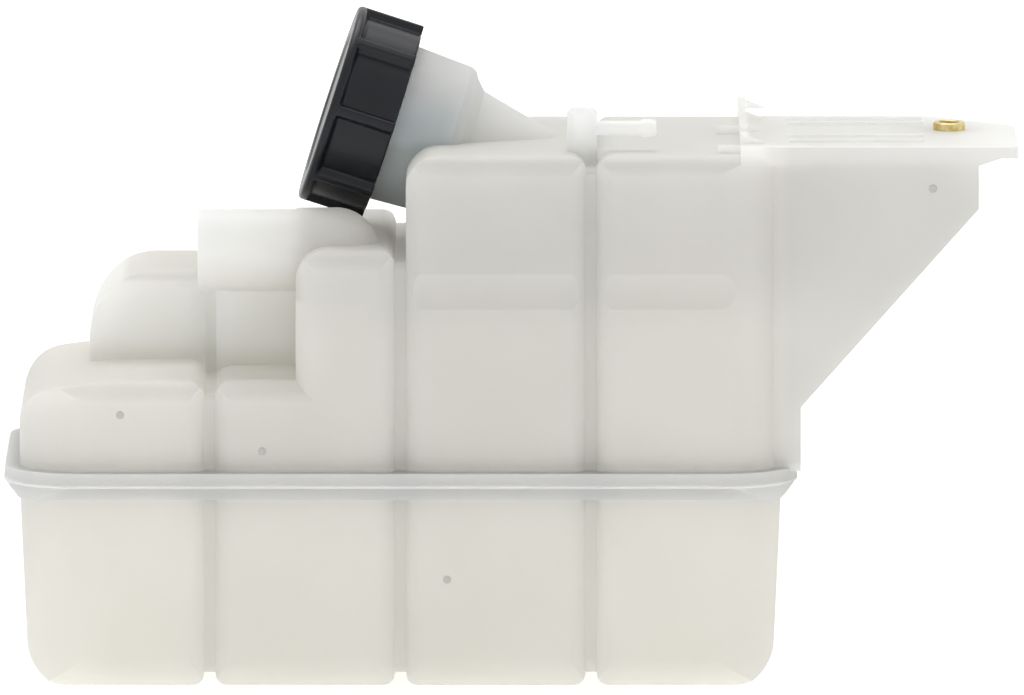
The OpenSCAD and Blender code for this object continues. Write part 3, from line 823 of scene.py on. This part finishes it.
PRESSURE_COIL = ValveSpring(
    "pressure_coil", "pressure_spring", Body.INSERT, "pressure_open",
    radius=11.0 * MM, wire=0.7 * MM, foot=23.3 * MM, head=38.05 * MM, turns=5.5,
    travel=2.4 * MM, fixed_at_head=True,
)
VACUUM_COIL = ValveSpring(
    "vacuum_coil", "vacuum_spring", Body.PRESSURE_VALVE, "vacuum_open",
    radius=2.8 * MM, wire=0.3 * MM, foot=24.1 * MM, head=29.2 * MM, turns=5.0,
    travel=1.4 * MM, fixed_at_head=False,
)


@dataclass
class SeamBead:
    """The thin bead that the hot-plate weld leaves between the two flanges."""

    half_length: float = 123.1 * MM
    half_depth: float = 60.6 * MM
    corner: float = 24.6 * MM
    centre: tuple[float, float] = (-34.2 * MM, -12.7 * MM)
    height: float = 64.0 * MM
    bead: float = 0.55 * MM
    sunk: float = 0.25
    corner_steps: int = 24
    sides: int = 10

    def path(self) -> tuple[np.ndarray, np.ndarray]:
        """The seam's outline: four quarter circles joined by straight runs.

        Returns:
            Points of the outline and its outward directions.
        """
        quarter = np.linspace(0.0, math.pi / 2, self.corner_steps)
        angle = np.concatenate([quarter + k * math.pi / 2 for k in range(4)])
        signs = np.array([[1, 1], [-1, 1], [-1, -1], [1, -1]])
        inner = np.array([self.half_length - self.corner, self.half_depth - self.corner])
        middles = np.repeat(signs * inner, self.corner_steps, axis=0)
        outward = np.stack([np.cos(angle), np.sin(angle)], axis=1)
        return middles + self.corner * outward + np.array(self.centre), outward

    def build(self, finishes: Finishes) -> None:
        """Sweeps a small circle round the outline, partly sunk into the flanges.

        Args:
            finishes: the built materials.
        """
        outline, outward = self.path()
        turn = np.linspace(0.0, 2.0 * math.pi, self.sides, endpoint=False)
        reach = self.bead * np.cos(turn) - self.sunk * self.bead
        lift = self.bead * np.sin(turn)
        flat = outline[:, None, :] + outward[:, None, :] * reach[None, :, None]
        height = np.broadcast_to(self.height + lift, flat.shape[:2])
        points = np.concatenate([flat, height[..., None]], axis=-1).reshape(-1, 3)
        faces = ring_faces(len(outline), self.sides, close_rows=True, flip=True)
        bead = mesh_piece("seam_bead", points, faces)
        add_piece(bead, Body.TANK, Slot.SHELL, finishes)


@dataclass
class GateMarks:
    """Small round marks where the plastic entered the moulds, on the front faces.

    Their places are millimetres, along the row from the body's middle.
    """

    places: tuple = (
        (165.2, -58.7, 155.4), (-86.9, -68.7, 85.9), (-42.8, -68.7, 74.6), (14.5, -68.7, 34.4),
    )
    body_middle: float = -34.2
    radius: float = 1.25 * MM
    lift: float = 0.12 * MM
    pole_rise: float = 0.25
    columns: int = 24

    def build(self, finishes: Finishes) -> None:
        """Makes one low dome per gate: rings that shrink towards a pole, with a flat back.

        Args:
            finishes: the built materials.
        """
        share = np.array([1.0, 1.0, 0.82, 0.55, 0.3])
        rise = np.array([-1.0, 0.3, 1.0, 0.8, 0.35])
        turn = np.linspace(0.0, 2.0 * math.pi, self.columns, endpoint=False)
        across = self.radius * share[:, None] * np.cos(turn)[None, :]
        up = self.radius * share[:, None] * np.sin(turn)[None, :]
        out = np.broadcast_to(-self.lift * rise[:, None], across.shape)
        rings = np.stack([across, out, up], axis=-1).reshape(-1, 3)
        pole = np.array([[0.0, -self.lift * self.pole_rise, 0.0]])
        tail = len(rings) - self.columns
        faces = ring_faces(len(share), self.columns)
        faces += [(tail + i, tail + (i + 1) % self.columns, len(rings)) for i in range(self.columns)]
        faces.append(tuple(range(self.columns - 1, -1, -1)))
        for number, (x, y, z) in enumerate(self.places):
            points = np.concatenate([rings, pole]) + np.array([x + self.body_middle, y, z]) * MM
            mark = mesh_piece(f"gate_mark_{number}", points, faces)
            add_piece(mark, Body.TANK, Slot.SHELL, finishes)
            mark.data.materials[0] = finishes.gate


@dataclass
class Studio:
    """Plain white floor, soft light from above, and the camera at the photograph's angle."""

    aim: tuple = (0.45 * MM, -12.7 * MM, 99.7 * MM)
    elevation: float = math.radians(7.5)
    distance: float = 7.0
    view_width: float = 320.0 * MM
    horizon: float = 0.25
    zenith: float = 0.75
    backdrop: float = 0.3
    sun: float = 1.4
    glow: float = 0.6
    seen_glow: float = 0.4
    white: float = 0.95
    rings: tuple = (0.0, 0.5, 2.0, 8.0, 30.0)
    columns: int = 96
    drop: float = 0.2 * MM
    sun_way: tuple = (0.05, -0.35, -1.0)
    sun_angle: float = math.radians(45.0)
    bounces: int = 12
    inner_bounces: int = 9

    def seen_rays(self, tree: NodeTree) -> bpy.types.NodeSocket:
        """A factor of 1 for rays from the camera, from a reflection or through glass."""
        path = tree.add("LightPath").outputs
        mirrored = tree.math("MAXIMUM", path["Is Glossy Ray"], path["Is Transmission Ray"])
        return tree.math("MAXIMUM", path["Is Camera Ray"], mirrored)

    def floor(self) -> None:
        """A wide disc under the tank, as rings that grow outwards, in matt white."""
        turn = np.linspace(0.0, 2.0 * math.pi, self.columns, endpoint=False)
        radii = np.array(self.rings)[:, None]
        level = np.full((len(self.rings), self.columns), -self.drop)
        points = np.stack([radii * np.cos(turn), radii * np.sin(turn), level], axis=-1).reshape(-1, 3)
        floor = mesh_piece("floor", points, ring_faces(len(self.rings), self.columns))
        floor.data.validate()
        material = bpy.data.materials.new("white_floor")
        tree = NodeTree(material)
        matt = tree.add("BsdfDiffuse", Color=(self.white, self.white, self.white, 1.0))
        lit = []
        for strength in (self.glow, self.seen_glow):
            glow = tree.add("Emission", Strength=strength)
            both = tree.add("AddShader")
            tree.link(matt.outputs[0], both.inputs[0])
            tree.link(glow.outputs[0], both.inputs[1])
            lit.append(both.outputs[0])
        tree.finish(tree.mix(self.seen_rays(tree), *lit))
        floor.data.materials.append(material)

    def world(self) -> None:
        """White where it is seen. As a light it is brightest overhead and behind."""
        world = bpy.data.worlds.new("studio")
        bpy.context.scene.world = world
        tree = NodeTree(world)
        _, y, z = tree.split(tree.add("TexCoord").outputs["Generated"])
        level = tree.remap(z, self.horizon, self.zenith)
        strength = tree.math("MULTIPLY_ADD", tree.math("MAXIMUM", y, 0.0), self.backdrop, level)
        soft = tree.add("Background")
        tree.link(strength, soft.inputs["Strength"])
        white = tree.add("Background", Strength=1.0)
        for sky in (soft, white):
            sky.inputs["Color"].default_value = (1.0, 1.0, 1.0, 1.0)
        tree.finish(tree.mix(self.seen_rays(tree), soft.outputs[0], white.outputs[0]), "OutputWorld")

    def lamps(self) -> None:
        """One wide sun from above, a little behind and to the left."""
        lamp = bpy.data.lights.new("softbox", "SUN")
        lamp.energy = self.sun
        lamp.angle = self.sun_angle
        holder = bpy.data.objects.new("softbox", lamp)
        bpy.context.scene.collection.objects.link(holder)
        way = Vector(self.sun_way).normalized()
        holder.rotation_euler = way.to_track_quat("-Z", "Y").to_euler()

    def camera(self) -> None:
        """A long lens that looks down a little on the front."""
        data = bpy.data.cameras.new("camera")
        data.sensor_width = SENSOR_WIDTH
        data.lens = SENSOR_WIDTH * self.distance / self.view_width
        data.clip_end = 60.0
        camera = bpy.data.objects.new("camera", data)
        bpy.context.scene.collection.objects.link(camera)
        back = Vector((0.0, -math.cos(self.elevation), math.sin(self.elevation)))
        camera.location = Vector(self.aim) + back * self.distance
        camera.rotation_euler = (-back).to_track_quat("-Z", "Y").to_euler()
        bpy.context.scene.camera = camera

    def build(self) -> None:
        """Sets up floor, light and camera."""
        self.floor()
        self.world()
        self.lamps()
        self.camera()
        scene = bpy.context.scene
        scene.view_settings.view_transform = "Standard"
        scene.cycles.max_bounces = self.bounces
        scene.cycles.diffuse_bounces = self.inner_bounces
        scene.cycles.transmission_bounces = self.inner_bounces


def corners(box: tuple) -> list:
    """A box's two corners as plain lists."""
    return [list(corner) for corner in box]


def main() -> None:
    """Builds the studio, dresses the part and adds its fine pieces."""
    logging.basicConfig(level=logging.INFO, format="%(name)s: %(message)s")
    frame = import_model()
    Studio().build()
    finishes = Finishes()
    finishes.make()
    finishes.dress_nodes(frame)
    for part in (CapGrip(), NeckThread(), PRESSURE_COIL, VACUUM_COIL, SeamBead(), GateMarks()):
        part.build(finishes)


if __name__ == "__main__":
    main()
